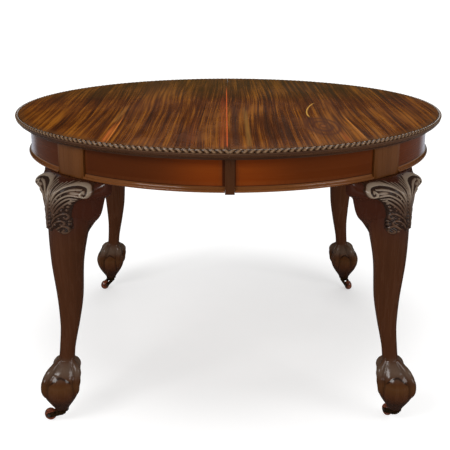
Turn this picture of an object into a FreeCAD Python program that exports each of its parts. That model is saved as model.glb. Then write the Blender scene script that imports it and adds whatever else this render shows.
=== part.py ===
import FreeCAD, Part

import math
import os

# Round extending dining table: two half tops on two half frames, which a lead screw winds apart along X.
# Frame: millimetres, +Z up, origin on the floor under the centre of the closed top. The halves meet at x = 0.

V = FreeCAD.Vector
UP = V(0, 0, 1)
ALONG_X = V(1, 0, 0)

# ---------------------------------------------------------------- driving dimensions
HEIGHT = 762.0
TOP_RADIUS = 610.0
TOP_THICKNESS = 28.0
SEAM_GAP = 0.4  # between the two halves of the top and frame when closed

ROPE_SIZE = 9.0  # height and depth of the carved rope edge
ROPE_LENGTHS = 4  # on each half

APRON_FACE_R = 570.0
APRON_THICKNESS = 22.0
APRON_BOTTOM_Z = 660.0
BEAD_HEIGHT = 7.0
BEAD_NOSE_R = 577.5
BEAD_INNER_R = 556.0
COVE_RISE = 7.0

LEG_AZIMUTH = 43.0  # each leg's angle from the Y axis
BLOCK_HALF_DEG = 5.1
BLOCK_FACE_R = 576.0
POST_INNER_R = 505.0
POST_BOTTOM_Z = 653.0

STILE_FACE_R = 578.8
STILE_BOTTOM_Z = 649.5
STILE_LAP_DEG = 0.9  # how far the stile laps over the left half
STILE_HOLD_DEG = 1.3  # how far it is glued to the right half

BALL_R = 640.0  # distance of each foot's ball from the table's axis
BALL_Z = 108.0
BALL_RADIUS = 45.0
TOE_THICKNESS = 9.5
TIP_Z = 37.0  # underside of the wooden foot

RUNNER_Z = (664.0, 708.0)
OUTER_RUNNER_Y = (300.0, 330.0)
MIDDLE_RUNNER_Y = (266.5, 299.5)
INNER_RUNNER_Y = (236.0, 266.0)
RUNNER_PLAY = 1.0
TONGUE_DEPTH = 9.0
TONGUE_Z = 686.0
TONGUE_ROOT = 9.0
TONGUE_TIP = 15.0

BEARER_Z = (708.0, 734.0)
END_BEARER_X = (285.0, 345.0)
END_BEARER_HALF_Y = 322.0
SEAM_BEARER_X = (50.0, 110.0)
SEAM_BEARER_HALF_Y = 528.0

SCREW_Z = 686.0
SCREW_RADIUS = 12.5
JOURNAL_RADIUS = 9.0
RUNNING_PLAY = 0.06
WINDER_HOLE_R = 14.0

WHEEL_RADIUS = 16.0
WHEEL_WIDTH = 15.0
CASTOR_TRAIL = 34.0
PLATE_RADIUS = 17.0
PLATE_Z = (34.0, 37.0)
PIVOT_RADIUS = 4.0
AXLE_RADIUS = 3.0
STEM_RADIUS = 5.0
STEM_TOP_Z = 82.0

# name: (angle of the leg round the table, from +X; direction in which its castor trails)
LEGS = {
    "front_left": (270.0 - LEG_AZIMUTH, 165.0),
    "front_right": (270.0 + LEG_AZIMUTH, 112.0),
    "rear_left": (90.0 + LEG_AZIMUTH, 235.0),
    "rear_right": (90.0 - LEG_AZIMUTH, 292.0),
}

# Sections of the leg: height, distance of the centre from the table's axis, half depth towards it, half width
LEG_SECTIONS = [
    (TIP_Z, 640, 17.5, 17.5),
    (52, 640, 25, 25),
    (74, 640, 37, 37),
    (108, 638, 44, 44),
    (134, 631, 40, 40),
    (152, 623, 29, 29),
    (175, 616, 23.5, 23.5),
    (206, 611, 23, 23),
    (274, 599, 27.5, 27.5),
    (340, 594, 34.5, 34.5),
    (437, 596, 43, 43),
    (520, 588, 52, 57),
    (575, 578, 57, 66),
    (622, 568, 62, 76),
    (POST_BOTTOM_Z, 558, 62, 76),
]
SECTION_POINTS = 24
SECTION_SQUARENESS = 2.6

# Outline of a knee bracket, in tangential distance and height
BRACKET_OUTLINE = [
    (30, POST_BOTTOM_Z),
    (142, POST_BOTTOM_Z),
    (134, 646),
    (129, 638),
    (126, 624),
    (118, 616),
    (105, 612),
    (100, 600),
    (95, 580),
    (90, 562),
    (82, 548),
    (68, 537),
    (52, 524),
    (30, 508),
]
BRACKET_R = (551.0, 577.0)


# ---------------------------------------------------------------- helpers
def box(x, y, z):
    return Part.makeBox(x[1] - x[0], y[1] - y[0], z[1] - z[0], V(x[0], y[0], z[0]))


def disc(radius, length, at, along=UP):
    return Part.makeCylinder(radius, length, at, along)


def face_of(edges):
    return Part.Face(Part.Wire(edges))


def polygon(points):
    return Part.Face(Part.makePolygon([*points, points[0]]))


def revolved(face, start, end):
    """Turns a face drawn in the XZ plane about the table's axis, from one angle to another."""
    turned = face.copy()
    turned.rotate(V(0, 0, 0), UP, start)
    return turned.revolve(V(0, 0, 0), UP, end - start)


def ring(radii, heights, start, end):
    (r0, r1), (z0, z1) = radii, heights
    return revolved(polygon([V(r0, 0, z0), V(r1, 0, z0), V(r1, 0, z1), V(r0, 0, z1)]), start, end)


def at_leg(shape, angle):
    """Moves a shape drawn with the leg on +X to that angle round the table."""
    placed = shape.copy()
    placed.rotate(V(0, 0, 0), UP, angle)
    return placed


def both_sides(shape):
    """A shape and its mirror image in the XZ plane."""
    return [shape, shape.mirror(V(0, 0, 0), V(0, 1, 0))]


def degrees_at(length, radius):
    return math.degrees(length / radius)


def save(name, shapes):
    solids = shapes if isinstance(shapes, (list, tuple)) else [shapes]
    whole = solids[0] if len(solids) == 1 else Part.makeCompound(solids)
    for solid in whole.Solids:
        if not solid.isValid() or solid.Volume <= 0:
            print("BAD SOLID", name, solid.Volume)
    whole.exportStep(f"parts/{name}.step")
    print(name, len(whole.Solids), round(whole.Volume / 1000.0, 1), "cm3")


# ---------------------------------------------------------------- top
TOP_Z = HEIGHT - TOP_THICKNESS
ROPE_Z = HEIGHT - ROPE_SIZE
ROPE_INNER_R = TOP_RADIUS - ROPE_SIZE
PEG_Z = HEIGHT - 14.0
PEG_Y = (-430.0, -170.0, 170.0, 430.0)
PEG_RADIUS = 5.0
PEG_LENGTH = 14.0
PEG_PLAY = 0.4


def top_profile():
    """Half section of the top: rebate for the rope edge, a fillet, and an ogee under it."""
    fillet_r = TOP_RADIUS - 2.0
    ogee_r = fillet_r - 3.0
    fillet_z = ROPE_Z - 3.5
    middle = V(ogee_r - 8.0, 0, fillet_z - 8.0)
    foot_r = ogee_r - 17.0
    foot_z = TOP_Z + 3.0
    line = Part.LineSegment
    return face_of(
        [
            line(V(0, 0, TOP_Z), V(0, 0, HEIGHT)).toShape(),
            line(V(0, 0, HEIGHT), V(ROPE_INNER_R, 0, HEIGHT)).toShape(),
            line(V(ROPE_INNER_R, 0, HEIGHT), V(ROPE_INNER_R, 0, ROPE_Z)).toShape(),
            line(V(ROPE_INNER_R, 0, ROPE_Z), V(fillet_r, 0, ROPE_Z)).toShape(),
            line(V(fillet_r, 0, ROPE_Z), V(fillet_r, 0, fillet_z)).toShape(),
            line(V(fillet_r, 0, fillet_z), V(ogee_r, 0, fillet_z)).toShape(),
            Part.Arc(V(ogee_r, 0, fillet_z), V(ogee_r - 2.3, 0, fillet_z - 5.7), middle).toShape(),
            Part.Arc(middle, V(foot_r + 2.9, 0, foot_z + 3.9), V(foot_r, 0, foot_z)).toShape(),
            line(V(foot_r, 0, foot_z), V(foot_r, 0, TOP_Z)).toShape(),
            line(V(foot_r, 0, TOP_Z), V(0, 0, TOP_Z)).toShape(),
        ]
    )


def half_space(side):
    """A box that keeps one side of the seam: -1 for the left half and 1 for the right."""
    reach = TOP_RADIUS + 50.0
    x = sorted((side * SEAM_GAP / 2.0, side * reach))
    return box(x, (-reach, reach), (0.0, HEIGHT + 10.0))


def make_tops():
    whole = revolved(top_profile(), 0, 360)
    for side, name in ((-1, "left"), (1, "right")):
        half = whole.common(half_space(side))
        for y in PEG_Y:
            if side < 0:
                depth = PEG_LENGTH + 1.0
                half = half.cut(disc(PEG_RADIUS + PEG_PLAY, depth + 1.0, V(-depth, y, PEG_Z), ALONG_X))
            else:
                half = half.cut(disc(PEG_RADIUS, 16.0, V(0, y, PEG_Z), ALONG_X))
        save(f"top_{name}", half.Solids)
    reach = SEAM_GAP / 2.0 + PEG_LENGTH + 16.0
    save("leaf_pegs", [disc(PEG_RADIUS, reach, V(16.0 - reach, y, PEG_Z), ALONG_X) for y in PEG_Y])


def make_rope_edges():
    """The rope edge, in four carved lengths on each half."""
    nose = ROPE_SIZE - 2.0
    corner = V(ROPE_INNER_R, 0, ROPE_Z)
    line = Part.LineSegment
    low = V(TOP_RADIUS, 0, HEIGHT - nose)
    high = V(TOP_RADIUS - nose, 0, HEIGHT)
    bulge = nose * math.sin(math.radians(45))
    centre = V(TOP_RADIUS - nose, 0, HEIGHT - nose)
    section = face_of(
        [
            line(corner, V(TOP_RADIUS, 0, ROPE_Z)).toShape(),
            line(V(TOP_RADIUS, 0, ROPE_Z), low).toShape(),
            Part.Arc(low, centre + V(bulge, 0, bulge), high).toShape(),
            line(high, V(ROPE_INNER_R, 0, HEIGHT)).toShape(),
            line(V(ROPE_INNER_R, 0, HEIGHT), corner).toShape(),
        ]
    )
    gap = degrees_at(SEAM_GAP / 2.0, ROPE_INNER_R)
    step = (180.0 - 2.0 * gap) / ROPE_LENGTHS
    for start, name in ((90.0 + gap, "left"), (270.0 + gap, "right")):
        lengths = [revolved(section, start + i * step, start + (i + 1) * step) for i in range(ROPE_LENGTHS)]
        save(f"rope_edge_{name}", lengths)


# ---------------------------------------------------------------- apron
def panel_spans(side):
    """Start and end angle of each of a half's panels: front, side and rear."""
    gap = degrees_at(SEAM_GAP / 2.0, APRON_FACE_R)
    front = 270.0 + side * LEG_AZIMUTH
    rear = 90.0 - side * LEG_AZIMUTH
    clear = BLOCK_HALF_DEG
    if side < 0:
        return {
            "front": (front + clear, 270.0 - gap),
            "side": (rear + clear, front - clear),
            "rear": (90.0 + gap, rear - clear),
        }
    return {
        "front": (270.0 + gap, front - clear),
        "side": (front + clear - 360.0, rear - clear),
        "rear": (rear + clear, 90.0 - gap),
    }


def bead_profile():
    """Half-round nose with a small cove over it, against the panel's face."""
    line = Part.LineSegment
    low = APRON_BOTTOM_Z - BEAD_HEIGHT
    nose_r = BEAD_NOSE_R - BEAD_HEIGHT / 2.0
    cove_top = V(APRON_FACE_R + 0.4, 0, APRON_BOTTOM_Z + COVE_RISE)
    return face_of(
        [
            line(V(BEAD_INNER_R, 0, low), V(nose_r, 0, low)).toShape(),
            Part.Arc(
                V(nose_r, 0, low), V(BEAD_NOSE_R, 0, low + BEAD_HEIGHT / 2.0), V(nose_r, 0, APRON_BOTTOM_Z)
            ).toShape(),
            Part.Arc(V(nose_r, 0, APRON_BOTTOM_Z), V(571.4, 0, APRON_BOTTOM_Z + 2.4), cove_top).toShape(),
            line(cove_top, V(APRON_FACE_R, 0, cove_top.z)).toShape(),
            line(V(APRON_FACE_R, 0, cove_top.z), V(APRON_FACE_R, 0, APRON_BOTTOM_Z)).toShape(),
            line(V(APRON_FACE_R, 0, APRON_BOTTOM_Z), V(BEAD_INNER_R, 0, APRON_BOTTOM_Z)).toShape(),
            line(V(BEAD_INNER_R, 0, APRON_BOTTOM_Z), V(BEAD_INNER_R, 0, low)).toShape(),
        ]
    )


def make_aprons():
    inner_r = APRON_FACE_R - APRON_THICKNESS
    hole = disc(ESCUTCHEON_R, 60.0, V(-APRON_FACE_R - 20.0, 0, SCREW_Z), ALONG_X)
    for side, name in ((-1, "left"), (1, "right")):
        beads = []
        for part, (start, end) in panel_spans(side).items():
            panel = ring((inner_r, APRON_FACE_R), (APRON_BOTTOM_Z, TOP_Z), start, end)
            if side < 0 and part == "side":
                panel = panel.cut(hole)
            save(f"apron_{part}_{name}", panel.Solids)
            lap = STILE_HOLD_DEG if side > 0 else STILE_LAP_DEG
            bead_start = start + (lap if math.isclose(start % 90.0, 0.0, abs_tol=0.1) else 0.0)
            bead_end = end - (lap if math.isclose(end % 90.0, 90.0, abs_tol=0.1) else 0.0)
            beads.append(revolved(bead_profile(), bead_start + 0.02, bead_end - 0.02))
        save(f"apron_bead_{name}", beads)


def make_stiles():
    """A cover strip over each of the two seams in the apron, held by the right half."""
    stiles = []
    for middle, right in ((270.0, 1.0), (90.0, -1.0)):
        lapped = sorted((middle - right * STILE_LAP_DEG, middle))
        held = sorted((middle, middle + right * STILE_HOLD_DEG))
        lap = ring((APRON_FACE_R + 0.4, STILE_FACE_R), (STILE_BOTTOM_Z, TOP_Z), *lapped)
        hold = ring((APRON_FACE_R, STILE_FACE_R), (STILE_BOTTOM_Z, TOP_Z), *held)
        stiles.append(lap.fuse(hold).removeSplitter().Solids[0])
    save("seam_stiles", stiles)


# ---------------------------------------------------------------- legs
def leg_section(height, centre_r, half_depth, half_width):
    """A rounded square with a corner towards the outside, as a closed curve."""
    points = []
    for i in range(SECTION_POINTS):
        a = 2.0 * math.pi * i / SECTION_POINTS
        p, q = abs(math.cos(a + math.pi / 4)), abs(math.sin(a + math.pi / 4))
        reach = (p**SECTION_SQUARENESS + q**SECTION_SQUARENESS) ** (-1.0 / SECTION_SQUARENESS)
        corner = 2.0 ** (0.5 - 1.0 / SECTION_SQUARENESS)
        share = reach / corner
        points.append(V(centre_r + half_depth * share * math.cos(a), half_width * share * math.sin(a), height))
    curve = Part.BSplineCurve()
    curve.interpolate(points, PeriodicFlag=True)
    return Part.Wire([curve.toShape()])


def toe(direction):
    """One claw: a round bar bent over the ball, from the ankle to below its widest line."""
    ball = V(BALL_R, 0, BALL_Z)
    reach = BALL_RADIUS - 1.0
    high, sweep = 58.0, 112.0
    start = ball + V(reach * math.cos(math.radians(high)), 0, reach * math.sin(math.radians(high)))
    along = V(-math.sin(math.radians(high)), 0, math.cos(math.radians(high)))
    section = Part.Face(Part.Wire([Part.makeCircle(TOE_THICKNESS, start, along)]))
    claw = section.revolve(ball, V(0, 1, 0), sweep)
    claw.rotate(ball, UP, direction)
    return claw


def make_leg():
    """The leg with its post and ball-and-claw foot, drawn on +X."""
    leg = Part.makeLoft([leg_section(*s) for s in LEG_SECTIONS], True, False)
    post = ring((POST_INNER_R, BLOCK_FACE_R), (POST_BOTTOM_Z, TOP_Z), -BLOCK_HALF_DEG, BLOCK_HALF_DEG)
    ball = Part.makeSphere(BALL_RADIUS, V(BALL_R, 0, BALL_Z))
    leg = leg.fuse([post, ball, *[toe(d) for d in (0, 90, 180, 270)]])
    leg = leg.cut(disc(STEM_RADIUS, STEM_TOP_Z - TIP_Z + 1.0, V(BALL_R, 0, TIP_Z - 1.0)))
    leg = leg.cut(disc(BOLT_RADIUS, BOLT_END_R - POST_INNER_R + 2.0, V(POST_INNER_R - 2.0, 0, BOLT_Z), ALONG_X))
    return leg.Solids[0]


def make_brackets(leg):
    outline = polygon([V(0, t, z) for t, z in BRACKET_OUTLINE]).extrude(V(TOP_RADIUS, 0, 0))
    lowest = min(z for _, z in BRACKET_OUTLINE)
    wing = outline.common(ring(BRACKET_R, (lowest, POST_BOTTOM_Z), 0.0, 25.0)).cut(leg)
    largest = max(wing.Solids, key=lambda s: s.Volume)
    return both_sides(largest)


def make_legs():
    leg = make_leg()
    brackets = make_brackets(leg)
    for name, (angle, _) in LEGS.items():
        save(f"leg_{name}", at_leg(leg, angle))
        save(f"knee_brackets_{name}", [at_leg(b, angle) for b in brackets])


# ---------------------------------------------------------------- braces behind the legs
BRACE_R = (476.0, 503.0)
BRACE_HALF_T = 58.0
BRACE_Z = (710.0, TOP_Z)
BOLT_Z = 722.0
BOLT_RADIUS = 4.0
BOLT_END_R = 545.0


def make_braces():
    brace = box(BRACE_R, (-BRACE_HALF_T, BRACE_HALF_T), BRACE_Z)
    packing = box((BRACE_R[1], POST_INNER_R - 1.0), (-30.0, 30.0), BRACE_Z)
    start = BRACE_R[0] - 2.0
    hole = disc(BOLT_RADIUS, POST_INNER_R - start + 4.0, V(start, 0, BOLT_Z), ALONG_X)
    brace = brace.fuse(packing).removeSplitter().cut(hole)
    shank = disc(BOLT_RADIUS - 0.05, BOLT_END_R - BRACE_R[0], V(BRACE_R[0], 0, BOLT_Z), ALONG_X)
    head = disc(8.0, 5.0, V(BRACE_R[0] - 5.0, 0, BOLT_Z), ALONG_X)
    bolt = shank.fuse(head).removeSplitter()
    for side in ("left", "right"):
        angles = [angle for name, (angle, _) in LEGS.items() if name.endswith(side)]
        save(f"leg_braces_{side}", [at_leg(brace.Solids[0], a) for a in angles])
        save(f"leg_bolts_{side}", [at_leg(bolt.Solids[0], a) for a in angles])


# ---------------------------------------------------------------- castors
def make_castor_plate():
    stem = disc(STEM_RADIUS - 0.05, STEM_TOP_Z - PLATE_Z[1] - 1.0, V(0, 0, PLATE_Z[1]))
    plate = disc(PLATE_RADIUS, PLATE_Z[1] - PLATE_Z[0], V(0, 0, PLATE_Z[0]))
    pivot = disc(PIVOT_RADIUS, 10.5, V(0, 0, PLATE_Z[0] - 10.5))
    rivet = disc(PIVOT_RADIUS + 2.0, 1.6, V(0, 0, PLATE_Z[0] - 12.1))
    return stem.fuse([plate, pivot, rivet]).removeSplitter()


def make_castor_horn():
    """The swivelling fork, drawn trailing along +X."""
    top, low = PLATE_Z[0] - 0.4, PLATE_Z[0] - 10.0
    inner = WHEEL_WIDTH / 2.0 + 0.8
    outer = inner + 2.6
    boss = disc(9.0, top - low, V(0, 0, low))
    crown = box((-6.0, 6.5), (-outer, outer), (low, top))
    axle = V(CASTOR_TRAIL, 0, WHEEL_RADIUS)
    arm_outline = [
        V(-4.0, inner, top),
        V(8.0, inner, top),
        V(CASTOR_TRAIL + 5.0, inner, WHEEL_RADIUS + 4.5),
        V(CASTOR_TRAIL + 5.5, inner, WHEEL_RADIUS - 3.5),
        V(CASTOR_TRAIL - 3.5, inner, WHEEL_RADIUS - 5.5),
        V(-4.0, inner, low),
    ]
    arm = polygon(arm_outline).extrude(V(0, outer - inner, 0))
    eye = disc(6.5, outer - inner, V(axle.x, inner, axle.z), V(0, 1, 0))
    horn = boss.fuse([crown, *both_sides(arm), *both_sides(eye)]).removeSplitter()
    horn = horn.cut(disc(PIVOT_RADIUS + RUNNING_PLAY, 30.0, V(0, 0, low - 10.0)))
    return horn.cut(disc(AXLE_RADIUS, 4.0 * outer, V(axle.x, -2.0 * outer, axle.z), V(0, 1, 0)))


def make_castor_axle():
    half = WHEEL_WIDTH / 2.0 + 3.4
    pin = disc(AXLE_RADIUS, 2.0 * half, V(CASTOR_TRAIL, -half, WHEEL_RADIUS), V(0, 1, 0))
    head = disc(AXLE_RADIUS + 1.4, 1.2, V(CASTOR_TRAIL, half, WHEEL_RADIUS), V(0, 1, 0))
    return pin.fuse(both_sides(head)).removeSplitter()


def make_castor_wheel():
    """A wheel with a slightly barrelled tread."""
    half = WHEEL_WIDTH / 2.0
    line = Part.LineSegment
    bore = AXLE_RADIUS + RUNNING_PLAY
    shoulder = WHEEL_RADIUS - 2.5
    section = face_of(
        [
            line(V(bore, -half, 0), V(shoulder, -half, 0)).toShape(),
            Part.Arc(V(shoulder, -half, 0), V(WHEEL_RADIUS, 0, 0), V(shoulder, half, 0)).toShape(),
            line(V(shoulder, half, 0), V(bore, half, 0)).toShape(),
            line(V(bore, half, 0), V(bore, -half, 0)).toShape(),
        ]
    )
    wheel = section.revolve(V(0, 0, 0), V(0, 1, 0), 360)
    wheel.translate(V(CASTOR_TRAIL, 0, WHEEL_RADIUS))
    return wheel


def make_castors():
    pieces = {
        "castor_plate": make_castor_plate(),
        "castor_horn": make_castor_horn(),
        "castor_axle": make_castor_axle(),
        "castor_wheel": make_castor_wheel(),
    }
    for name, (angle, trail) in LEGS.items():
        foot = V(BALL_R * math.cos(math.radians(angle)), BALL_R * math.sin(math.radians(angle)), 0)
        for piece, shape in pieces.items():
            placed = at_leg(shape, trail)
            placed.translate(foot)
            save(f"{piece}_{name}", placed)


# ---------------------------------------------------------------- sliding frame
RUNNER_REACH = {"outer": (-430.0, 424.0), "middle": (-446.0, 446.0), "inner": (-466.0, 474.0)}
MIDDLE_DROP = 1.0  # the middle runners sit this much lower, clear of the bearers
TIE_THICKNESS = 9.0
SCREW_SHANK_R = 2.5
SCREW_HEAD_R = 4.6
SCREW_LENGTH = 58.0
SCREW_FIT = 0.05
TIE_X = ((-430.0, -396.0), (396.0, 430.0))
NUT_BAR_X = (-78.0, -38.0)


def dovetail(root_y, tip_y, reach, grow):
    """A dovetail rib along X, from its root to its tip, grown by a clearance."""
    root, tip = TONGUE_ROOT / 2.0 + grow, TONGUE_TIP / 2.0 + grow
    outline = [
        V(reach[0], root_y, TONGUE_Z - root),
        V(reach[0], tip_y, TONGUE_Z - tip),
        V(reach[0], tip_y, TONGUE_Z + tip),
        V(reach[0], root_y, TONGUE_Z + root),
    ]
    return polygon(outline).extrude(V(reach[1] - reach[0], 0, 0))


def screw_places(side):
    """Where the wood screws go, in x and y, for the left (-1) or right (1) half."""
    y = OUTER_RUNNER_Y[1] - 7.0 if side < 0 else INNER_RUNNER_Y[0] + 7.0
    xs = [side * x for span in (END_BEARER_X, SEAM_BEARER_X) for x in (span[0] + 15.0, span[1] - 15.0)]
    return [(x, sign * y) for x in xs for sign in (-1.0, 1.0)]


def screw(place, fit):
    """A countersunk wood screw standing in a runner, grown by a fit."""
    foot = V(*place, RUNNER_Z[0])
    shank = disc(SCREW_SHANK_R + fit, SCREW_LENGTH + fit, foot)
    head = Part.makeCone(SCREW_HEAD_R + fit, SCREW_SHANK_R + fit, SCREW_HEAD_R - SCREW_SHANK_R, foot)
    return shank.fuse(head).removeSplitter()


def without_screws(shape, side):
    for place in screw_places(side):
        shape = shape.cut(screw(place, SCREW_FIT))
    return shape


def make_runners():
    """Three telescoping runners a side. The middle one has a dovetail rib on each face."""
    whole_reach = (-700.0, 700.0)
    groove_depth = TONGUE_DEPTH + RUNNER_PLAY
    outer = box(RUNNER_REACH["outer"], OUTER_RUNNER_Y, RUNNER_Z)
    outer = outer.cut(dovetail(OUTER_RUNNER_Y[0] - 1.0, OUTER_RUNNER_Y[0] + groove_depth, whole_reach, 0.6))
    inner = box(RUNNER_REACH["inner"], INNER_RUNNER_Y, RUNNER_Z)
    inner = inner.cut(dovetail(INNER_RUNNER_Y[1] + 1.0, INNER_RUNNER_Y[1] - groove_depth, whole_reach, 0.6))
    reach = RUNNER_REACH["middle"]
    middle_z = (RUNNER_Z[0] - MIDDLE_DROP, RUNNER_Z[1] - MIDDLE_DROP)
    ribs = [
        dovetail(MIDDLE_RUNNER_Y[1], MIDDLE_RUNNER_Y[1] + TONGUE_DEPTH, reach, 0.0),
        dovetail(MIDDLE_RUNNER_Y[0], MIDDLE_RUNNER_Y[0] - TONGUE_DEPTH, reach, 0.0),
    ]
    middle = box(reach, MIDDLE_RUNNER_Y, middle_z).fuse(ribs).removeSplitter()
    for name, shape, side in (("outer", outer, -1), ("middle", middle, 0), ("inner", inner, 1)):
        rear, front = both_sides(without_screws(shape, side) if side else shape)
        save(f"{name}_runner_rear", rear)
        save(f"{name}_runner_front", front)
    tie_z = (middle_z[0] - TIE_THICKNESS, middle_z[0])
    tie_y = (-MIDDLE_RUNNER_Y[1], MIDDLE_RUNNER_Y[1])
    save("middle_ties", [box(x, tie_y, tie_z) for x in TIE_X])


def make_bearers():
    """Cross bearers under the top. Each is relieved over the runners that slide beneath it."""
    relief = 1.2
    for side, name in ((-1, "left"), (1, "right")):
        sliding_y = INNER_RUNNER_Y if side < 0 else OUTER_RUNNER_Y
        for place, span, half_y in (
            ("end", END_BEARER_X, END_BEARER_HALF_Y),
            ("seam", SEAM_BEARER_X, SEAM_BEARER_HALF_Y),
        ):
            x = tuple(sorted((side * span[0], side * span[1])))
            bearer = box(x, (-half_y, half_y), BEARER_Z)
            lift = (BEARER_Z[0] - 1.0, BEARER_Z[0] + relief)
            over = box(x, (sliding_y[0] - 1.0, sliding_y[1] + 1.0), lift)
            for cutter in both_sides(over):
                bearer = bearer.cut(cutter)
            save(f"bearer_{place}_{name}", without_screws(bearer, side).Solids)


def make_runner_screws():
    """Wood screws up through the fixed runners into the bearers."""
    for side, name in ((-1, "left"), (1, "right")):
        save(f"runner_screws_{name}", [screw(place, 0.0).Solids[0] for place in screw_places(side)])


# ---------------------------------------------------------------- winding gear
ESCUTCHEON_R = WINDER_HOLE_R + 3.0
SCREW_REACH = (-484.0, 458.0)
BEARING_X = (-505.0, -495.0)
DRIVE_X = (-541.0, -515.0)
DRIVE_SQUARE = 12.0
NUT_RADIUS = 22.0


def make_winding_gear():
    centre = V(0, 0, SCREW_Z)
    thread = disc(SCREW_RADIUS, SCREW_REACH[1] - SCREW_REACH[0], V(SCREW_REACH[0], 0, SCREW_Z), ALONG_X)
    journal = disc(JOURNAL_RADIUS, 34.0, V(SCREW_REACH[0] - 32.0, 0, SCREW_Z), ALONG_X)
    inner_collar = disc(16.0, 9.0, V(SCREW_REACH[0] - 9.5, 0, SCREW_Z), ALONG_X)
    outer_collar = disc(16.0, 8.0, V(BEARING_X[0] - 9.5, 0, SCREW_Z), ALONG_X)
    half = DRIVE_SQUARE / 2.0
    drive = box((DRIVE_X[0], DRIVE_X[1] + 4.0), (-half, half), (SCREW_Z - half, SCREW_Z + half))
    save("lead_screw", thread.fuse([journal, inner_collar, outer_collar, drive]).removeSplitter().Solids)

    plate = box(BEARING_X, (-42.0, 42.0), (658.0, TOP_Z))
    foot = box((BEARING_X[1], BEARING_X[1] + 44.0), (-42.0, 42.0), (TOP_Z - 6.0, TOP_Z))
    bearing = plate.fuse(foot).removeSplitter()
    bearing = bearing.cut(disc(JOURNAL_RADIUS + RUNNING_PLAY, 40.0, centre + V(BEARING_X[0] - 10, 0, 0), ALONG_X))
    save("screw_bearing", bearing.Solids)

    bar = box(NUT_BAR_X, (-INNER_RUNNER_Y[0], INNER_RUNNER_Y[0]), (RUNNER_Z[0] + 2.0, RUNNER_Z[1] - 2.0))
    bar = bar.cut(disc(NUT_RADIUS - 4.0, 60.0, V(NUT_BAR_X[0] - 10.0, 0, SCREW_Z), ALONG_X))
    save("nut_bar", bar.Solids)
    flange_x = NUT_BAR_X[0] - 8.0
    nut = disc(NUT_RADIUS - 4.05, NUT_BAR_X[1] - flange_x, V(flange_x, 0, SCREW_Z), ALONG_X)
    flange = box((flange_x, NUT_BAR_X[0]), (-40.0, 40.0), (SCREW_Z - 19.0, SCREW_Z + 19.0))
    nut = nut.fuse(flange).removeSplitter()
    nut = nut.cut(disc(SCREW_RADIUS + RUNNING_PLAY, 100.0, V(flange_x - 10.0, 0, SCREW_Z), ALONG_X))
    save("screw_nut", nut.Solids)

    tube_end = -(APRON_FACE_R - APRON_THICKNESS) + 2.0
    tube_start = -APRON_FACE_R - 1.0
    tube = disc(ESCUTCHEON_R - 0.05, tube_end - tube_start, V(tube_start, 0, SCREW_Z), ALONG_X)
    rim = disc(ESCUTCHEON_R + 4.0, 2.0, V(tube_start - 2.0, 0, SCREW_Z), ALONG_X)
    ring_piece = tube.fuse(rim).removeSplitter()
    ring_piece = ring_piece.cut(disc(WINDER_HOLE_R, 60.0, V(tube_start - 10.0, 0, SCREW_Z), ALONG_X))
    save("winder_escutcheon", ring_piece.Solids)


os.makedirs("parts", exist_ok=True)
make_tops()
make_rope_edges()
make_aprons()
make_stiles()
make_legs()
make_braces()
make_castors()
make_runners()
make_bearers()
make_runner_screws()
make_winding_gear()
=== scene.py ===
import math

import bmesh
import bpy
import numpy as np
from mathutils import Matrix, Vector


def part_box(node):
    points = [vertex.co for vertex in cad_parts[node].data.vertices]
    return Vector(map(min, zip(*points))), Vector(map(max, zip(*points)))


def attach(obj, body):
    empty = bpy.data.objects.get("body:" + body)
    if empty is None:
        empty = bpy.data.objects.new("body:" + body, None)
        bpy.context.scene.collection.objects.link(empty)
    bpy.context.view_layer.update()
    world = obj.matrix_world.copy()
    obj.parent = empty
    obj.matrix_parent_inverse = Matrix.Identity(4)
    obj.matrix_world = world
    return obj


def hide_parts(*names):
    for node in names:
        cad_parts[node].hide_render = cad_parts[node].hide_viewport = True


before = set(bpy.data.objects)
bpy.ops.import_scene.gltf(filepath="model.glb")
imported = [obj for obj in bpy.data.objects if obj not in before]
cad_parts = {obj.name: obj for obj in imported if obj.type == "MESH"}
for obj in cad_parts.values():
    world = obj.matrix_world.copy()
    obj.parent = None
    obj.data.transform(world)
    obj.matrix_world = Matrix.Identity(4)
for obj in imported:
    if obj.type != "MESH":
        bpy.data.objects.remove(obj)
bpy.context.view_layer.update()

MM = 0.001

# ------------ where things are, from the frame
top_low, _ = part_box("top_right")
_, rope_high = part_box("rope_edge_right")
_, bead_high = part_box("apron_bead_right")
TOP_Z = rope_high.z
RIM_R = rope_high.x
TOP_UNDER = top_low.z
SEAM_X = top_low.x
LEGS = ("front_left", "front_right", "rear_left", "rear_right")

# The photograph's view: lens in mm on a 36 mm sensor, place, degrees below level, and vertical shift
CAMERA_LENS = 63.936
CAMERA_AT = (-0.0091, -2.3398, 1.1449)
CAMERA_DOWN = 15.35
CAMERA_SHIFT = -0.078


def half_of(leg):
    return "left_half" if leg.endswith("left") else "right_half"


def foot_centre(leg):
    low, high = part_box("castor_plate_" + leg)
    return (low + high) / 2


def leg_angle(leg):
    at = foot_centre(leg)
    return math.atan2(at.y, at.x)


BALL_R = math.hypot(foot_centre("front_left").x, foot_centre("front_left").y)
BLOCK_FOOT_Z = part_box("seam_stiles")[0].z + 3.5 * MM


# ------------ mesh helpers
def in_scene(name, data):
    obj = bpy.data.objects.new(name, data)
    bpy.context.scene.collection.objects.link(obj)
    return obj


def new_object(name, verts, faces, angle=None):
    mesh = bpy.data.meshes.new(name)
    mesh.from_pydata([tuple(v) for v in verts], [], faces)
    mesh.validate()
    mesh.polygons.foreach_set("use_smooth", [True] * len(mesh.polygons))
    if angle is not None:
        mesh.set_sharp_from_angle(angle=math.radians(angle))
    return in_scene(name, mesh)


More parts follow.
